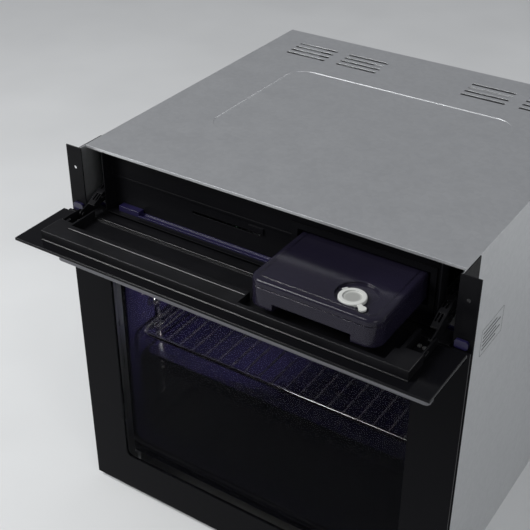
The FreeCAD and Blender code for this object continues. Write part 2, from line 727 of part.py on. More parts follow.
def panel_bracket():
    """Foot, ear and hinge pin at one end of the panel, drawn on the right."""
    foot = box(243, 262.5, -328, -300, CARRIER_BOTTOM, CARRIER_BOTTOM + 1.5)
    ear_x0 = 260.6
    ear_x1 = 262.5
    ear = plate_yz([(-328, CARRIER_BOTTOM), (-328, 514), (-312, 514), (PIVOT_Y, PIVOT_Z + 5.8),
                    (PIVOT_Y, PIVOT_Z - 5.8), (-300, CARRIER_BOTTOM)], ear_x0, ear_x1)
    eye = rod_x(ear_x0, ear_x1, PIVOT_Y, PIVOT_Z, 5.8)
    pin = rod_x(254.5, ear_x1, PIVOT_Y, PIVOT_Z, PIN_R)
    pin_head = rod_x(253.5, 254.5, PIVOT_Y, PIVOT_Z, PIN_R + 1.2)
    ear_slots = [slot_x(-325, -314, 508.5, 1.8, ear_x0 - 1, ear_x1 + 1)]
    holes = [rod_z(x, y, 500, 504, 1.7) for x, y in bracket_screw_places()]
    return cut(fuse([foot, ear, eye, pin, pin_head]), ear_slots + holes)


def bracket_screw_places():
    return ((251.4, -320.0), (247.0, -304.5), (254.2, -306.0))


def bracket_screws():
    low = CARRIER_BOTTOM
    screws = []
    for s in (-1, 1):
        for x, y in bracket_screw_places():
            shank = rod_z(s * x, y, low, low + 1.5, 1.5)
            head = rod_z(s * x, y, low + 1.5, low + 3.2, 2.6)
            screws.append(fuse([shank, head]))
    return Part.makeCompound(screws)


def panel_glass():
    half = FRONT_WIDTH / 2
    glass = box(-half, half, PANEL_GLASS_FRONT, PANEL_GLASS_BACK, PANEL_GLASS_BOTTOM, CARRIER_BOTTOM)
    return glass.makeChamfer(0.6, glass.Edges)


def panel_carrier():
    low = CARRIER_BOTTOM
    floor_top = low + 2
    end = CARRIER_X
    recess_left = -241.0
    recess_right = 239.0
    bay_left = 40.0
    bay_right = 232.0
    notch_x = 241.6
    notch_y = -330.0
    body = box(-end, end, CARRIER_FRONT, CARRIER_BACK, low, CARRIER_TOP)
    body = body.makeFillet(0.4, [e for e in body.Edges if e.BoundBox.YMax < CARRIER_FRONT + 0.1
                                 and e.BoundBox.XLength > 100 and e.BoundBox.ZMin > low + 1])
    lip = box(-end, end, CARRIER_FRONT - LIP, CARRIER_FRONT + 1, low, low + LIP)
    body = fuse([body, lip])
    tray = box(recess_left + 2, recess_right - 2, LEDGE_BACK, CARRIER_BACK - 2, floor_top, CARRIER_TOP + 1)
    rear_low = box(recess_left + 2, recess_right - 2, CARRIER_BACK - 3, CARRIER_BACK + 1, floor_top + 2,
                   CARRIER_TOP + 1)
    bay = box(bay_left, bay_right, CARRIER_FRONT + 6, LEDGE_BACK + 1, low + 1.5, CARRIER_TOP + 1)
    bay_rear = box(bay_left, recess_right - 2, LEDGE_BACK - 1, CARRIER_BACK - 2, low + 1.5, CARRIER_TOP + 1)
    ledge_hollow = box(recess_left + 2, bay_left - 2, CARRIER_FRONT + 2, LEDGE_BACK - 2, floor_top,
                       CARRIER_TOP - 2)
    window = box(-98, 28, CARRIER_FRONT + 4, LEDGE_BACK - 4, low - 1, floor_top + 1)
    notches = [box(notch_x, end + 1, notch_y, CARRIER_BACK + 1, low - 1, CARRIER_TOP + 1),
               box(-end - 1, -notch_x, notch_y, CARRIER_BACK + 1, low - 1, CARRIER_TOP + 1)]
    groove = box(recess_left + 2, bay_left - 2, LEDGE_BACK - 9, LEDGE_BACK - 7.5, CARRIER_TOP - 0.6,
                 CARRIER_TOP + 1)
    return cut(body, [tray, rear_low, bay, bay_rear, ledge_hollow, window, groove] + notches)


def display_module():
    low = CARRIER_BOTTOM
    screen = box(-96, 26, CARRIER_FRONT + 6, LEDGE_BACK - 6, low, low + 4)
    board = box(-110, 34, CARRIER_FRONT + 5, LEDGE_BACK - 5, low + 4, low + 5.6)
    chips = [box(x, x + 16, CARRIER_FRONT + 9, LEDGE_BACK - 9, low + 5.6, low + 9) for x in (-90, -50, -10)]
    return fuse([screen, board] + chips)


# ---------------------------------------------------------------- water tank

def tank_carriage():
    x0 = TANK_LEFT + 4
    x1 = TANK_RIGHT - 3.5
    rear = TANK_FRONT + TANK_LENGTH
    floor = box(x0, x1, rear - 88, rear + 3, 513.4, 515.4)
    stop = box(x0, x1, rear + 1, rear + 3, 513.4, 526)
    valve_gap = box(68, 92, rear, rear + 4, 514.5, 530)
    runners = [box(x, x + 3, rear - 88, rear + 3, 515.4, 516.6) for x in (x0, x1 - 3)]
    return cut(fuse([floor, stop] + runners), [valve_gap])


def tank_body():
    back = TANK_FRONT + TANK_LENGTH
    seam = TANK_TOP - TANK_LID
    wall = TANK_WALL
    outer = rounded_box((TANK_LEFT, TANK_RIGHT, TANK_FRONT, back, TANK_BOTTOM, seam), TANK_CORNER, (0, 0, 1))
    bottom_edges = [e for e in outer.Edges if e.BoundBox.ZMax < TANK_BOTTOM + 0.1]
    outer = outer.makeFillet(3.0, bottom_edges)
    hollow = rounded_box((TANK_LEFT + wall, TANK_RIGHT - wall, TANK_FRONT + wall, back - wall,
                          TANK_BOTTOM + wall, seam + 1), TANK_CORNER - wall, (0, 0, 1))
    grip_pocket = rounded_box((86, 188, TANK_FRONT - 8, TANK_FRONT + 14, TANK_BOTTOM - 1,
                               TANK_BOTTOM + 11), 5, (0, 0, 1))
    grip_wall = rounded_box((84, 190, TANK_FRONT + 3, TANK_FRONT + 16, TANK_BOTTOM + 0.5,
                             TANK_BOTTOM + 13), 5, (0, 0, 1))
    spigot = rod_y(TANK_VALVE_X, back - 1, back + 7, TANK_VALVE_Z, 5)
    bore = rod_y(TANK_VALVE_X, back + 1, back + 8, TANK_VALVE_Z, 3)
    shell = cut(outer, [hollow])
    shell = fuse([shell, grip_wall, spigot])
    return cut(shell, [grip_pocket, bore])


def along_cap(shape):
    """Turn a shape drawn with the tab along +X to the cap's own direction, and move it to the cap."""
    shape.rotate(V(0, 0, 0), V(0, 0, 1), CAP_ANGLE)
    shape.translate(V(CAP_X, CAP_Y, 0))
    return shape


def tank_lid():
    back = TANK_FRONT + TANK_LENGTH
    seam = TANK_TOP - TANK_LID
    lid = rounded_box((TANK_LEFT, TANK_RIGHT, TANK_FRONT, back, seam, TANK_TOP), TANK_CORNER, (0, 0, 1))
    top_edges = [e for e in lid.Edges if e.BoundBox.ZMin > TANK_TOP - 0.1]
    lid = lid.makeFillet(4.4, top_edges)
    hollow = rounded_box((TANK_LEFT + 2, TANK_RIGHT - 2, TANK_FRONT + 2, back - 2, seam - 1, TANK_TOP - 4.5),
                         TANK_CORNER - 2, (0, 0, 1))
    seam_groove = cut(box(TANK_LEFT - 1, TANK_RIGHT + 1, TANK_FRONT - 1, back + 1, seam - 0.01, seam + 0.8),
                      [rounded_box((TANK_LEFT + 0.7, TANK_RIGHT - 0.7, TANK_FRONT + 0.7, back - 0.7, seam - 1,
                                    seam + 2), TANK_CORNER - 0.7, (0, 0, 1))])
    collar = rod_z(RECESS_X, RECESS_Y, TANK_TOP - 6.5, TANK_TOP - 1, RECESS_R + 2)
    tab_end = CAP_TAB + 4
    tab_collar = rounded_box((10, tab_end + 2, -9, 9, TANK_TOP - 6.5, TANK_TOP - 1), 8.9, (0, 0, 1))
    floor = TANK_TOP - RECESS_DEPTH
    recess = rod_z(RECESS_X, RECESS_Y, floor, TANK_TOP + 1, RECESS_R)
    tab_recess = along_cap(rounded_box((10, tab_end, -7, 7, floor, TANK_TOP + 1), 6.9, (0, 0, 1)))
    fill = rod_z(CAP_X, CAP_Y, seam, TANK_TOP + 1, FILL_R)
    rim = [rounded_box((TANK_LEFT + inset, TANK_RIGHT - inset, TANK_FRONT + inset, back - inset,
                        TANK_TOP - 0.5, TANK_TOP + 1), TANK_CORNER - inset, (0, 0, 1)) for inset in (9, 10)]
    rim_groove = cut(rim[0], [rim[1]])
    lugs = [along_cap(box(-CAP_R - 5, -CAP_R - 2, y, y + 2, floor - 0.5, TANK_TOP)) for y in (-6, 4)]
    shell = fuse([cut(lid, [hollow, seam_groove, rim_groove]), collar, along_cap(tab_collar)])
    return fuse([cut(shell, [recess, tab_recess, fill])] + lugs)


def filler_cap():
    """Soft cap with a ring rim, a plug, a keyhole thumb tab and a hinge strap."""
    under = TANK_TOP - RECESS_DEPTH + 0.3
    top = TANK_TOP + 1.6
    disc = rod_z(CAP_X, CAP_Y, under, top, CAP_R)
    disc = disc.makeFillet(1.2, [e for e in disc.Edges if e.BoundBox.ZMin > top - 0.1])
    dish = rod_z(CAP_X, CAP_Y, top - 1.6, top + 1, CAP_R - 5)
    plug = rod_z(CAP_X, CAP_Y, under - 4, under, FILL_R - 1.1)
    neck = along_cap(box(CAP_R - 3, CAP_TAB - 4, -2.8, 2.8, under + 1, TANK_TOP + 0.6))
    thumb = along_cap(rod_z(CAP_TAB - 4.6, 0, under + 1, TANK_TOP + 0.6, 4.6))
    strap = along_cap(box(-CAP_R - 3.5, -CAP_R + 2, -2.4, 2.4, under + 0.2, under + 1.6))
    knuckle = along_cap(Part.makeCylinder(1.3, 7.2, V(-CAP_R - 3.5, -3.6, under + 1.1), V(0, 1, 0)))
    return cut(fuse([disc, plug, neck, thumb, strap, knuckle]), [dish])


# ---------------------------------------------------------------- door

def door_glass(half, y0, z0, z1, thickness, chamfer):
    pane = box(-half, half, y0, y0 + thickness, z0, z1)
    return pane.makeChamfer(chamfer, pane.Edges)


def door_profile():
    """Side profile of the door, open at the rear near the hinge, drawn on the right."""
    front = FRONT_Y + GLASS
    back = INNER_GLASS_BACK - GLASS
    low = DOOR_BOTTOM + 2
    high = DOOR_TOP - 12
    outer = box(PROFILE_X0, PROFILE_X1, front, back, low, high)
    hollow = box(PROFILE_X0 + PROFILE_T, PROFILE_X1 - PROFILE_T, front + PROFILE_T, back - PROFILE_T, low - 1,
                 high + 1)
    hinge_gate = box(PROFILE_X0 + PROFILE_T, PROFILE_X1 - PROFILE_T, back - 5, back + 1, low - 1, 140)
    return cut(outer, [hollow, hinge_gate])


def door_top_trim():
    front = FRONT_Y + GLASS
    back = INNER_GLASS_BACK
    low = DOOR_TOP - 12
    trim = box(-PROFILE_X1, PROFILE_X1, front, back, low, DOOR_TOP)
    hollow = box(-PROFILE_X1 + 2, PROFILE_X1 - 2, front + 2, back - 2, low - 1, DOOR_TOP - 2)
    return cut(trim, [hollow])


def door_bottom_trim():
    front = FRONT_Y + GLASS
    back = INNER_GLASS_BACK - GLASS
    trim = box(-PROFILE_X0, PROFILE_X0, front, back, DOOR_BOTTOM + 2, 34)
    hollow = box(-PROFILE_X0 - 1, PROFILE_X0 + 1, front + 2, back - 2, DOOR_BOTTOM + 4, 32)
    vents = [slot_z(x, x + 44, (front + back) / 2, 3, DOOR_BOTTOM, 36) for x in range(-222, 190, 60)]
    return cut(trim, [hollow] + vents)


def door_handle():
    y1 = HANDLE_Y + HANDLE_D
    bar = box(-HANDLE_X, HANDLE_X, HANDLE_Y, y1, HANDLE_Z, HANDLE_Z + HANDLE_H)
    bar = rounded(bar, 6.4, (0, 0, 1))
    long_edges = [e for e in bar.Edges if e.BoundBox.XLength > 400 and e.BoundBox.YMax < HANDLE_Y + 1]
    return bar.makeFillet(1.5, long_edges)


def handle_posts():
    y0 = HANDLE_Y + HANDLE_D
    mid = HANDLE_Z + HANDLE_H / 2
    posts = [rounded_box((s * POST_X - 13, s * POST_X + 13, y0, FRONT_Y, mid - 6, mid + 6), 4, (0, 1, 0))
             for s in (-1, 1)]
    return Part.makeCompound(posts)


def hinge_arm():
    """Lever of the door hinge, fixed inside the side profile, drawn on the right."""
    y = DOOR_HINGE_Y
    z = DOOR_HINGE_Z
    cheeks = []
    for x in (248.8, 257.3):
        plate = plate_yz([(y - 9, z), (y - 9, 135), (y + 7, 135), (y + 7, z)], x, x + 3.7)
        cheeks.append(fuse([plate, rod_x(x, x + 3.7, y, z, 8)]))
    web = box(248.8, 261, y - 11, y - 9, z + 14, 135)
    bore = rod_x(240, 270, y, z, 3.55)
    return cut(fuse(cheeks + [web]), [bore])


def hinge_housing():
    """Fixed half of the door hinge with its tongue and pin, drawn on the right."""
    y = DOOR_HINGE_Y
    z = DOOR_HINGE_Z
    case = box(246, 264, -234, -110, SHEET, 56)
    hollow = box(248, 262, -232, -112, 5, 54)
    tongue = box(253, 256.9, y, -190, z - 7, z + 7)
    nose = rod_x(253, 256.9, y, z, 7)
    pin = rod_x(248.8, 261, y, z, 3.5)
    spring = rod_y(255, -190, -114, z, 6)
    anchor = rod_y(255, -200, -190, z, 4)
    end = box(248, 262, -114, -111, z - 8, z + 8)
    return fuse([cut(case, [hollow]), tongue, nose, pin, spring, anchor, end])


# ---------------------------------------------------------------- write every piece

def door_outer_glass():
    return door_glass(FRONT_WIDTH / 2, FRONT_Y, DOOR_BOTTOM, DOOR_TOP, GLASS, 0.6)


def door_middle_glass():
    return door_glass(PROFILE_X0 - 2, -266, 40, 480, 3, 0.4)


def door_inner_glass():
    return door_glass(258, INNER_GLASS_BACK - GLASS, 62, DOOR_TOP - 14, GLASS, 0.5)


ALONE = (base_plate, rear_panel, top_cover, front_crossmember, bay_floor, case_screws,
         cavity, cavity_front_plate, insulation_blanket, door_seal, wire_shelf, universal_pan,
         fan_baffle, ring_heater, grill_element, lower_heater, lamp_glass, steam_nozzle,
         convection_fan, fan_motor, steam_generator, water_hoses, water_pump, air_duct,
         blower_housing, blower_wheel, power_board, mains_gland, compartment_liner, drip_gutter,
         tank_housing, tank_dock, panel_drive_motor, panel_stops, panel_glass, panel_carrier, display_module,
         bracket_screws, tank_carriage, tank_body, tank_lid, filler_cap, door_outer_glass,
         door_middle_glass, door_inner_glass, door_top_trim, door_bottom_trim, door_handle,
         handle_posts)
TOGETHER = (("mounting_flanges", mounting_flange), ("shelf_racks", shelf_rack), ("arm_tracks", arm_track),
            ("panel_brackets", panel_bracket), ("door_profiles", door_profile), ("hinge_arms", hinge_arm),
            ("hinge_housings", hinge_housing), ("cavity_supports", cavity_support),
            ("pivot_arms", panel_arm))

for make in ALONE:
    save(make.__name__, make())

for name, make in TOGETHER:
    save(name, both_sides(make()))

save("right_side_panel", side_panel())
save("left_side_panel", mirrored(side_panel()))
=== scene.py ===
import json
import math

import bmesh
import bpy
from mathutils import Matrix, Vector


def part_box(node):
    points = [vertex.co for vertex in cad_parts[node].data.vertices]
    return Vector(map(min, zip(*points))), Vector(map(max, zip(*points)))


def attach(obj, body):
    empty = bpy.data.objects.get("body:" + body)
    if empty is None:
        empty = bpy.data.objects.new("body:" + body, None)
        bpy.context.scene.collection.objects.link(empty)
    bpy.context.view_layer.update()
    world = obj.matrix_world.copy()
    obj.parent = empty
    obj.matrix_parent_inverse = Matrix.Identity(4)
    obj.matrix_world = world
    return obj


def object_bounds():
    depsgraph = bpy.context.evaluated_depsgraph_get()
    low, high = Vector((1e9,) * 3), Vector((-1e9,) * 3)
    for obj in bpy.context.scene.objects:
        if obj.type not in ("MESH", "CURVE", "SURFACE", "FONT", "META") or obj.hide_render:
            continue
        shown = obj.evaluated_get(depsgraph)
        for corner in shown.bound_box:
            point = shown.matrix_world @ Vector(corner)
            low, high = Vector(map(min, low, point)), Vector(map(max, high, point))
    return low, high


# Materials, printed marks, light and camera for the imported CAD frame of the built-in steam oven.
# Metres, in the frame's own axes.

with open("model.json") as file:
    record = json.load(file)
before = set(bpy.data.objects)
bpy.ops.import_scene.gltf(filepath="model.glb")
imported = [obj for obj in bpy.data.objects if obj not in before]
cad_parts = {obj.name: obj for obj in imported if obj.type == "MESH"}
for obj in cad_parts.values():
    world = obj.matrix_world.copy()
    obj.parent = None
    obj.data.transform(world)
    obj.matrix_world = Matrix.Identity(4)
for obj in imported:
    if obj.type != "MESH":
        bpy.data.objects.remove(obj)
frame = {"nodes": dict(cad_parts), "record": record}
cad_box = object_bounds()
nodes = frame["nodes"]
MM = 0.001
CAP_X = 173 * MM                # middle of the tank's filler cap
CAP_Y = -329 * MM
CAP_DISH_SHADE = (10.8 * MM, 11.6 * MM)       # where the painted shade in its recessed dish ends and its pale rim begins
LEDGE_BACK = -335 * MM          # where the carrier's front ledge ends and its tray begins
BORDER = 65.5 * MM              # black print on the door glass, from its side edge to the window
WINDOW_LOW = 75 * MM            # the window's lower and upper edge, and its corner radius
WINDOW_HIGH = 434 * MM
WINDOW_CORNER = 10 * MM
PRINT_BLUR = 0.2 * MM           # half the width of the print's soft edge
PRINT_DEPTH = 0.12 * MM         # how far printed marks stand up
RING_POINTS = 28
DOT_POINTS = 16
CORNER_STEPS = 5                # points on a quarter turn, ends included
EDGE_TURN = 0.80                # cosine of the turn at which a rounded edge has its full coat
FLAT_TURN = 0.995               # and from which a face counts as flat
FLAT_COAT = 0.04                # share of the edge's coat that a flat face keeps
UNLINKED_COAT = 0.1             # share left in the socket itself, beneath the node that drives it


# ---------------------------------------------------------------- node helpers

class Look:
    """One procedural material, built up a layer at a time."""

    def __init__(self, name, colour, roughness, metallic=0.0):
        self.mat = bpy.data.materials.new(name)
        self.mat.use_nodes = True
        self.tree = self.mat.node_tree
        self.shader = self.tree.nodes["Principled BSDF"]
        self.shader.inputs["Base Color"].default_value = (*colour, 1)
        self.shader.inputs["Roughness"].default_value = roughness
        self.shader.inputs["Metallic"].default_value = metallic
        self.coords = self.add("ShaderNodeTexCoord").outputs["Object"]
        self.normal = None

    def add(self, kind, **values):
        node = self.tree.nodes.new(kind)
        for key, value in values.items():
            setattr(node, key, value)
        return node

    def link(self, out, into):
        self.tree.links.new(out, into)

    def set(self, **sockets):
        """Constant values on the shader's own sockets, such as Coat_Weight=0.3."""
        for key, value in sockets.items():
            self.shader.inputs[key.replace("_", " ")].default_value = value
        return self

    def stretched(self, scale):
        node = self.add("ShaderNodeMapping")
        node.inputs["Scale"].default_value = scale
        self.link(self.coords, node.inputs["Vector"])
        return node.outputs["Vector"]

    def noise(self, scale, detail=3.0, stretch=(1, 1, 1)):
        node = self.add("ShaderNodeTexNoise")
        node.inputs["Scale"].default_value = scale
        node.inputs["Detail"].default_value = detail
        self.link(self.stretched(stretch), node.inputs["Vector"])
        return node.outputs["Fac"]

    def cells(self, scale, stretch=(1, 1, 1)):
        node = self.add("ShaderNodeTexVoronoi")
        node.inputs["Scale"].default_value = scale
        self.link(self.stretched(stretch), node.inputs["Vector"])
        split = self.add("ShaderNodeSeparateColor")
        self.link(node.outputs["Color"], split.inputs["Color"])
        return split.outputs[0]

    def ramp(self, factor, low, high, start=0.35, end=0.65):
        """A colour between low and high, from where factor passes start to where it passes end."""
        node = self.add("ShaderNodeValToRGB")
        node.color_ramp.elements[0].position = start
        node.color_ramp.elements[1].position = end
        node.color_ramp.elements[0].color = (*low, 1)
        node.color_ramp.elements[1].color = (*high, 1)
        self.link(factor, node.inputs["Fac"])
        return node.outputs["Color"]

    def span(self, factor, low, high, start=0.3, end=0.7):
        """A number between low and high."""
        node = self.add("ShaderNodeMapRange")
        node.inputs["From Min"].default_value = start
        node.inputs["From Max"].default_value = end
        node.inputs["To Min"].default_value = low
        node.inputs["To Max"].default_value = high
        self.link(factor, node.inputs["Value"])
        return node.outputs["Result"]

    def tint(self, factor, low, high, start=0.35, end=0.65):
        """Base colour that varies between low and high."""
        self.link(self.ramp(factor, low, high, start, end), self.shader.inputs["Base Color"])
        return self

    def sheen_range(self, factor, low, high):
        """Roughness that varies between low and high."""
        self.link(self.span(factor, low, high), self.shader.inputs["Roughness"])
        return self

    def soften(self, radius):
        """Rounded look on sharp sheet and moulding edges."""
        node = self.add("ShaderNodeBevel", samples=6)
        node.inputs["Radius"].default_value = radius
        self.normal = node.outputs["Normal"]
        self.link(self.normal, self.shader.inputs["Normal"])
        return self

    def polished_edges(self, weight, roughness, where=None):
        """A clear coat that grows from almost nothing on flat faces to weight on the edges that
        soften() rounds. where is a factor from 0 to 1 that limits it to a part of the piece."""
        flat = self.add("ShaderNodeNewGeometry").outputs["Normal"]
        turn = self.add("ShaderNodeVectorMath", operation="DOT_PRODUCT")
        self.link(flat, turn.inputs[0])
        self.link(self.normal, turn.inputs[1])
        coat = self.span(turn.outputs["Value"], weight, weight * FLAT_COAT, EDGE_TURN, FLAT_TURN)
        if where is not None:
            coat = self.math("MULTIPLY", coat, where)
        self.link(coat, self.shader.inputs["Coat Weight"])
        self.link(self.normal, self.shader.inputs["Coat Normal"])
        return self.set(Coat_Weight=weight * UNLINKED_COAT, Coat_Roughness=roughness)

    def bump(self, height, depth, strength=1.0):
        node = self.add("ShaderNodeBump")
        node.inputs["Distance"].default_value = depth
        node.inputs["Strength"].default_value = strength
        self.link(height, node.inputs["Height"])
        if self.normal is not None:
            self.link(self.normal, node.inputs["Normal"])
        self.normal = node.outputs["Normal"]
        self.link(self.normal, self.shader.inputs["Normal"])
        return self

    def math(self, operation, a, b=None):
        node = self.add("ShaderNodeMath", operation=operation)
        for index, value in enumerate((a, b)):
            if value is None:
                continue
            if isinstance(value, (int, float)):
                node.inputs[index].default_value = value
            else:
                self.link(value, node.inputs[index])
        return node.outputs[0]

    def axes(self):
        node = self.add("ShaderNodeSeparateXYZ")
        self.link(self.coords, node.inputs["Vector"])
        return node.outputs["X"], node.outputs["Y"], node.outputs["Z"]

    def distance(self, a, b):
        """The length whose two square parts are a and b."""
        squares = [self.math("MULTIPLY", part, part) for part in (a, b)]
        return self.math("SQRT", self.math("ADD", *squares))


# ---------------------------------------------------------------- materials

def galvanised():
    look = Look("galvanised_sheet", (0.60, 0.61, 0.62), 0.40, 0.9)
    spangle = look.cells(170)
    look.tint(spangle, (0.595, 0.605, 0.615), (0.625, 0.635, 0.645), 0.1, 0.9)
    look.sheen_range(look.noise(30), 0.38, 0.44)
    look.soften(0.5 * MM)
    look.bump(look.noise(90, 4), 0.03 * MM, 0.3)
    return look.mat


def black_steel():
    look = Look("black_coated_steel", (0.005, 0.005, 0.006), 0.42)
    look.tint(look.noise(35), (0.0040, 0.0040, 0.0048), (0.0065, 0.0065, 0.0075))
    look.sheen_range(look.noise(60), 0.34, 0.46)
    look.set(IOR=1.14)
    look.soften(0.8 * MM)
    look.polished_edges(0.6, 0.2)
    look.bump(look.noise(2200, 2), 0.02 * MM, 0.4)
    return look.mat


def enamel():
    look = Look("blue_black_enamel", (0.0095, 0.0075, 0.031), 0.20)
    specks = look.noise(900, 2)
    look.tint(specks, (0.0095, 0.0075, 0.031), (0.014, 0.012, 0.041), 0.60, 0.85)
    look.set(Coat_Weight=0.3, Coat_Roughness=0.08)
    look.soften(0.8 * MM)
    look.bump(look.noise(70, 3), 0.10 * MM, 0.4)
    return look.mat


def chrome_wire():
    look = Look("chromed_wire", (0.90, 0.88, 0.84), 0.16, 1.0)
    look.sheen_range(look.noise(120, 3), 0.12, 0.26)
    look.bump(look.noise(500, 2), 0.02 * MM, 0.3)
    return look.mat


def stainless():
    look = Look("stainless_part", (0.50, 0.50, 0.51), 0.3, 1.0)
    look.sheen_range(look.noise(90, 4, (1, 9, 1)), 0.22, 0.42)
    look.soften(0.3 * MM)
    look.bump(look.noise(400, 3, (1, 12, 1)), 0.03 * MM, 0.5)
    return look.mat


def aluminium():
    look = Look("anodised_aluminium", (0.50, 0.51, 0.53), 0.32, 1.0)
    look.sheen_range(look.noise(300, 3, (1, 1, 0.05)), 0.26, 0.42)
    look.soften(0.4 * MM)
    look.bump(look.noise(700, 2, (1, 1, 0.05)), 0.02 * MM, 0.5)
    return look.mat


def handle_metal():
    look = Look("brushed_handle", (0.145, 0.145, 0.155), 0.34, 1.0)
    grain = look.noise(900, 4, (0.03, 1, 1))
    look.tint(grain, (0.125, 0.125, 0.135), (0.165, 0.165, 0.175))
    look.sheen_range(grain, 0.26, 0.38)
    look.soften(0.5 * MM)
    look.bump(look.noise(1600, 3, (0.02, 1, 1)), 0.015 * MM, 0.5)
    return look.mat


def printed_glass(name, window_x, window_low, window_high, corner):
    """Black printed glass whose middle is clear: the print ends at a rounded window."""
    look = Look(name, (0.004, 0.004, 0.005), 0.05)
    look.set(IOR=1.12)
    x, _, z = look.axes()
    middle = (window_low + window_high) / 2
    over_x = look.math("MAXIMUM", look.math("SUBTRACT", look.math("ABSOLUTE", x), window_x - corner), 0.0)
    rise = look.math("ABSOLUTE", look.math("SUBTRACT", z, middle))
    over_z = look.math("MAXIMUM", look.math("SUBTRACT", rise, (window_high - window_low) / 2 - corner), 0.0)
    reach = look.distance(over_x, over_z)
    alpha = look.span(reach, 0.12, 1.0, corner - PRINT_BLUR, corner + PRINT_BLUR)
    look.link(alpha, look.shader.inputs["Alpha"])
    look.soften(0.5 * MM)
    return look.mat


def panel_black_glass():
    look = Look("panel_black_glass", (0.004, 0.004, 0.005), 0.12)
    look.set(IOR=1.15)
    look.sheen_range(look.noise(18, 2), 0.10, 0.18)
    look.soften(1.4 * MM)
    look.polished_edges(1.0, 0.12)
    return look.mat


def clear_glass():
    look = Look("clear_pane", (0.010, 0.010, 0.016), 0.03)
    look.set(Alpha=0.06, IOR=1.3)
    look.bump(look.noise(6, 1), 0.05 * MM, 0.3)
    return look.mat


def black_plastic(name="black_moulding", bright_in_front=False):
    """Black moulding with bright edges, on the whole piece or only on the panel's front ledge."""
    look = Look(name, (0.006, 0.006, 0.007), 0.36)
    look.tint(look.noise(28), (0.005, 0.005, 0.0058), (0.007, 0.007, 0.0082))
    look.sheen_range(look.noise(45), 0.30, 0.40)
    look.set(IOR=1.22)
    look.soften(1.4 * MM)
    where = None
    if bright_in_front:
        _, depth, _ = look.axes()
        where = look.span(depth, 1.0, 0.1, LEDGE_BACK - 8 * MM, LEDGE_BACK + 2 * MM)
    look.polished_edges(1.0, 0.14, where)
    look.bump(look.noise(1500, 2), 0.015 * MM, 0.3)
    return look.mat


def dark_liner():
    look = Look("dark_liner", (0.0035, 0.0035, 0.0045), 0.5)
    look.sheen_range(look.noise(40), 0.42, 0.55)
    look.set(IOR=1.2)
    look.soften(0.7 * MM)
    look.bump(look.noise(1300, 2), 0.02 * MM, 0.3)
    return look.mat


def smoke_plastic():
    look = Look("smoke_tank", (0.012, 0.010, 0.022), 0.16)
    look.tint(look.noise(9, 2), (0.011, 0.0095, 0.019), (0.014, 0.012, 0.025))
    look.sheen_range(look.noise(14, 2), 0.14, 0.20)
    look.set(Alpha=0.84, IOR=1.32)
    look.soften(1.4 * MM)
    look.polished_edges(1.0, 0.14)
    return look.mat


def grey_silicone():
    look = Look("grey_silicone", (0.60, 0.61, 0.585), 0.5)
    look.tint(look.noise(90), (0.56, 0.575, 0.545), (0.62, 0.635, 0.60))
    look.set(Subsurface_Weight=0.06, Specular_IOR_Level=0.35)
    look.soften(0.5 * MM)
    look.bump(look.noise(1400, 2), 0.02 * MM, 0.4)
    return look.mat


def cap_silicone():
    """The filler cap: a pale ring rim round its recessed dish, whose darker colour is painted shade."""
    look = Look("cap_silicone", (0.58, 0.59, 0.56), 0.5)
    x, y, _ = look.axes()
    reach = look.distance(look.math("SUBTRACT", x, CAP_X), look.math("SUBTRACT", y, CAP_Y))
    # painted shade: the recessed dish gets a darker base colour than the rim
    look.tint(reach, (0.30, 0.305, 0.29), (0.56, 0.57, 0.545), *CAP_DISH_SHADE)
    look.set(Specular_IOR_Level=0.35)
    look.soften(0.5 * MM)
    look.bump(look.noise(1400, 2), 0.02 * MM, 0.4)
    return look.mat


def seal_rubber():
    look = Look("seal_rubber", (0.02, 0.02, 0.021), 0.7)
    look.tint(look.noise(200), (0.016, 0.016, 0.017), (0.028, 0.028, 0.029))
    look.bump(look.noise(900, 4), 0.08 * MM, 0.6)
    return look.mat


def mineral_wool():
    look = Look("mineral_wool", (0.55, 0.50, 0.36), 0.95)
    look.tint(look.noise(120, 6, (1, 1, 4)), (0.40, 0.35, 0.22), (0.66, 0.61, 0.46))
    look.bump(look.noise(300, 6, (1, 1, 4)), 1.0 * MM, 0.8)
    return look.mat


def violet_plastic():
    look = Look("violet_moulding", (0.009, 0.007, 0.036), 0.28)
    look.tint(look.noise(40), (0.007, 0.0055, 0.030), (0.012, 0.009, 0.046))
    look.set(Coat_Weight=0.2, Coat_Roughness=0.15)
    look.soften(0.8 * MM)
    return look.mat


def circuit_green():
    look = Look("circuit_board", (0.02, 0.10, 0.05), 0.35)
    tracks = look.cells(260, (1, 3, 1))
    look.tint(tracks, (0.012, 0.07, 0.035), (0.05, 0.16, 0.08), 0.45, 0.55)
    look.bump(tracks, 0.05 * MM, 0.4)
    return look.mat


def grey_plastic():
    look = Look("grey_moulding", (0.24, 0.24, 0.25), 0.45)
    look.tint(look.noise(60), (0.21, 0.21, 0.22), (0.27, 0.27, 0.28))
    look.soften(0.5 * MM)
    look.bump(look.noise(1500, 2), 0.03 * MM, 0.5)
    return look.mat


def screw_steel():
    look = Look("screw_steel", (0.62, 0.62, 0.62), 0.28, 1.0)
    look.sheen_range(look.noise(700, 3), 0.2, 0.38)
    look.soften(0.3 * MM)
    return look.mat


def print_ink():
    look = Look("pale_print", (0.62, 0.64, 0.66), 0.4)
    look.tint(look.noise(300), (0.58, 0.60, 0.62), (0.66, 0.68, 0.70))
    return look.mat


def label_ink():
    look = Look("label_print", (0.03, 0.03, 0.032), 0.45)
    look.tint(look.noise(200), (0.026, 0.026, 0.028), (0.036, 0.036, 0.038))
    return look.mat


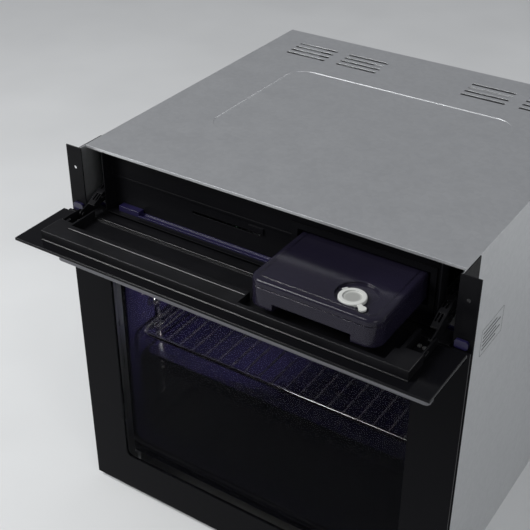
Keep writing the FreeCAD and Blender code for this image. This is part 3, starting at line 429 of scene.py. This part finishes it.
FINISHES = {
    "galvanised": galvanised(),
    "black_steel": black_steel(),
    "enamel": enamel(),
    "chrome_wire": chrome_wire(),
    "stainless": stainless(),
    "aluminium": aluminium(),
    "handle_metal": handle_metal(),
    "black_glass": panel_black_glass(),
    "clear_glass": clear_glass(),
    "black_plastic": black_plastic(),
    "dark_liner": dark_liner(),
    "smoke_plastic": smoke_plastic(),
    "grey_silicone": grey_silicone(),
    "seal_rubber": seal_rubber(),
    "mineral_wool": mineral_wool(),
    "violet_plastic": violet_plastic(),
    "circuit_green": circuit_green(),
    "grey_plastic": grey_plastic(),
    "screw_steel": screw_steel(),
}

SLOT_OF = {part["node"]: part["material_slot"] for part in frame["record"]["subparts"]}


def paint(obj, material):
    obj.data.materials.clear()
    obj.data.materials.append(material)


_, door_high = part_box("door_outer_glass")
for name, obj in nodes.items():
    paint(obj, FINISHES[SLOT_OF[name]])
paint(nodes["door_outer_glass"],
      printed_glass("door_printed_glass", door_high.x - BORDER, WINDOW_LOW, WINDOW_HIGH, WINDOW_CORNER))
paint(nodes["filler_cap"], cap_silicone())
paint(nodes["panel_carrier"], black_plastic("carrier_moulding", bright_in_front=True))


# ---------------------------------------------------------------- printed pieces

panel_low, panel_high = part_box("panel_glass")


def circle(a, b, radius, count):
    """Points round a circle, as (u, v)."""
    turn = [math.tau * i / count for i in range(count)]
    return [(a + radius * math.cos(t), b + radius * math.sin(t)) for t in turn]


class Print:
    """Thin raised marks on one flat face: u and v run in the face, and out is the way the ink stands up."""

    def __init__(self, origin, u, v, out):
        self.maker = bmesh.new()
        self.origin = Vector(origin)
        self.u = Vector(u)
        self.v = Vector(v)
        self.out = Vector(out)

    def spot(self, a, b, lift):
        return self.maker.verts.new(self.origin + self.u * a + self.v * b + self.out * lift)

    def patch(self, outer, inner=None):
        """An outline of (u, v) points, solid or as a band between two outlines with as many points."""
        loops = [outer] if inner is None else [outer, inner]
        low = [[self.spot(a, b, 0) for a, b in loop] for loop in loops]
        high = [[self.spot(a, b, PRINT_DEPTH) for a, b in loop] for loop in loops]
        count = len(outer)
        for k in range(len(loops)):
            for i in range(count):
                j = (i + 1) % count
                self.maker.faces.new((low[k][i], low[k][j], high[k][j], high[k][i]))
        if inner is None:
            self.maker.faces.new(low[0])
            self.maker.faces.new(high[0])
            return
        for level in (low, high):
            for i in range(count):
                j = (i + 1) % count
                self.maker.faces.new((level[0][i], level[0][j], level[1][j], level[1][i]))

    def ring(self, a, b, radius, width):
        self.patch(circle(a, b, radius, RING_POINTS), circle(a, b, radius - width, RING_POINTS))

    def dot(self, a, b, radius):
        self.patch(circle(a, b, radius, DOT_POINTS))

    def bar(self, a, b, half_u, half_v):
        self.patch([(a - half_u, b - half_v), (a + half_u, b - half_v),
                    (a + half_u, b + half_v), (a - half_u, b + half_v)])

    def wedge(self, a, b, size, way):
        self.patch([(a - way * size, b - size), (a + way * size, b), (a - way * size, b + size)])

    def rounded_frame(self, a, b, half_u, half_v, corner, width):
        def outline(shrink):
            points = []
            for side_u, side_v, first in ((1, 1, 0), (-1, 1, 90), (-1, -1, 180), (1, -1, 270)):
                for step in range(CORNER_STEPS):
                    t = math.radians(first + step * 90 / (CORNER_STEPS - 1))
                    points.append((a + side_u * (half_u - corner) + (corner - shrink) * math.cos(t),
                                   b + side_v * (half_v - corner) + (corner - shrink) * math.sin(t)))
            return points
        self.patch(outline(0), outline(width))

    def finish(self, name, body, material):
        bmesh.ops.recalc_face_normals(self.maker, faces=self.maker.faces)
        mesh = bpy.data.meshes.new(name)
        self.maker.to_mesh(mesh)
        self.maker.free()
        piece = bpy.data.objects.new(name, mesh)
        bpy.context.scene.collection.objects.link(piece)
        mesh.materials.append(material)
        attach(piece, body)


def touch_marks():
    """Plain round, bar and arrow marks along the control panel's outer face. It faces down while
    the panel is open."""
    middle = (panel_low.y + panel_high.y) / 2
    power = -215 * MM
    display = -35 * MM
    start = 215 * MM
    marks = Print((0, middle, panel_low.z), (1, 0, 0), (0, -1, 0), (0, 0, -1))
    marks.rounded_frame(display, 0, 62 * MM, 15 * MM, 3 * MM, 0.4 * MM)
    marks.ring(power, 0, 4.2 * MM, 0.7 * MM)
    marks.bar(power, 3.6 * MM, 0.4 * MM, 2.2 * MM)
    for place in (-180 * MM, -150 * MM, -120 * MM):
        marks.dot(place, 0, 1.0 * MM)
        marks.bar(place, -5 * MM, 3.2 * MM, 0.35 * MM)
    for place, way in ((60 * MM, -1), (90 * MM, 1)):
        marks.wedge(place, 0, 2.6 * MM, way)
    for place in (125 * MM, 155 * MM, 185 * MM):
        marks.ring(place, 0, 3.2 * MM, 0.6 * MM)
        marks.bar(place, -6 * MM, 3.2 * MM, 0.35 * MM)
    marks.wedge(start, 0, 3.2 * MM, 1)
    marks.finish("touch_marks", "fascia", PRINT_INK)


def blank_label(name, origin, u, out, half_u, half_v):
    """A framed label on an upright face of the casing, with bars of two lengths in place of writing."""
    label = Print(origin, u, (0, 0, 1), out)
    label.rounded_frame(0, 0, half_u, half_v, 2 * MM, 0.5 * MM)
    for row in range(5):
        reach = half_u * (0.8 if row % 2 else 0.62)
        label.bar(reach - half_u * 0.84, half_v * (0.6 - 0.3 * row), reach, half_v * 0.05)
    label.finish(name, "chassis", LABEL_INK)


PRINT_INK = print_ink()
LABEL_INK = label_ink()
touch_marks()
_, rear_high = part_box("rear_panel")
blank_label("rear_label", (150 * MM, rear_high.y, 350 * MM), (-1, 0, 0), (0, 1, 0), 45 * MM, 26 * MM)
_, side_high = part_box("right_side_panel")
blank_label("side_label", (side_high.x, -150 * MM, 440 * MM), (0, 1, 0), (1, 0, 0), 34 * MM, 20 * MM)


# ---------------------------------------------------------------- stage, light and camera

FLOOR_HALF_SIZE = 4
SPOT_BLEND = 0.7
SPOT_RADIUS = 0.03
SENSOR = 36                     # millimetres, as is the lens
LENS = 71.46
CAMERA_PLACE = (0.618, -1.179, 1.212)
CAMERA_TILT = math.radians(57.2)
CAMERA_TURN = math.radians(33.4)
SKY = (0.93, 0.95, 1.0)
SKY_STRENGTH = 0.30


def add_floor():
    mesh = bpy.data.meshes.new("floor")
    maker = bmesh.new()
    bmesh.ops.create_grid(maker, x_segments=1, y_segments=1, size=FLOOR_HALF_SIZE)
    maker.to_mesh(mesh)
    maker.free()
    floor = bpy.data.objects.new("floor", mesh)
    floor.location.z = cad_box[0].z
    bpy.context.scene.collection.objects.link(floor)
    look = Look("pale_floor", (0.72, 0.73, 0.73), 0.75)
    look.tint(look.noise(3, 2), (0.70, 0.71, 0.71), (0.74, 0.75, 0.75))
    mesh.materials.append(look.mat)


def aim(data, place, target):
    """Put a light in the scene, pointed from its place at a target."""
    light = bpy.data.objects.new(data.name, data)
    light.location = place
    light.rotation_euler = (Vector(target) - Vector(place)).to_track_quat("-Z", "Y").to_euler()
    bpy.context.scene.collection.objects.link(light)


def add_light(name, place, target, size, power):
    data = bpy.data.lights.new(name, "AREA")
    data.shape = "RECTANGLE"
    data.size, data.size_y = size
    data.energy = power
    aim(data, place, target)


def add_spot(name, place, target, cone, power):
    data = bpy.data.lights.new(name, "SPOT")
    data.energy = power
    data.spot_size = math.radians(cone)
    data.spot_blend = SPOT_BLEND
    data.shadow_soft_size = SPOT_RADIUS
    aim(data, place, target)


def add_camera():
    data = bpy.data.cameras.new("camera")
    data.sensor_width = SENSOR
    data.lens = LENS
    camera = bpy.data.objects.new("camera", data)
    camera.location = CAMERA_PLACE
    camera.rotation_euler = (CAMERA_TILT, 0, CAMERA_TURN)
    bpy.context.scene.collection.objects.link(camera)
    bpy.context.scene.camera = camera


world = bpy.data.worlds.new("studio")
world.use_nodes = True
sky = world.node_tree.nodes["Background"]
sky.inputs["Color"].default_value = (*SKY, 1)
sky.inputs["Strength"].default_value = SKY_STRENGTH
bpy.context.scene.world = world
bpy.context.scene.view_settings.view_transform = "Standard"

add_floor()
add_light("key", (-1.6, -1.6, 2.6), (0, -0.2, 0.5), (1.5, 1.5), 85)
add_light("fill", (2.2, -1.8, 1.8), (0, -0.2, 0.5), (1.4, 1.4), 16)
add_light("back", (2.2, 2.4, 1.5), (0, 0, 0.3), (1.8, 1.2), 16)
add_spot("rack lamp", (0.02, -0.215, 0.425), (-0.235, -0.02, 0.30), 100, 8)
add_light("cavity lamp", (0.10, -0.19, 0.437), (0.0, 0.02, 0.24), (0.30, 0.06), 0.35)
add_camera()
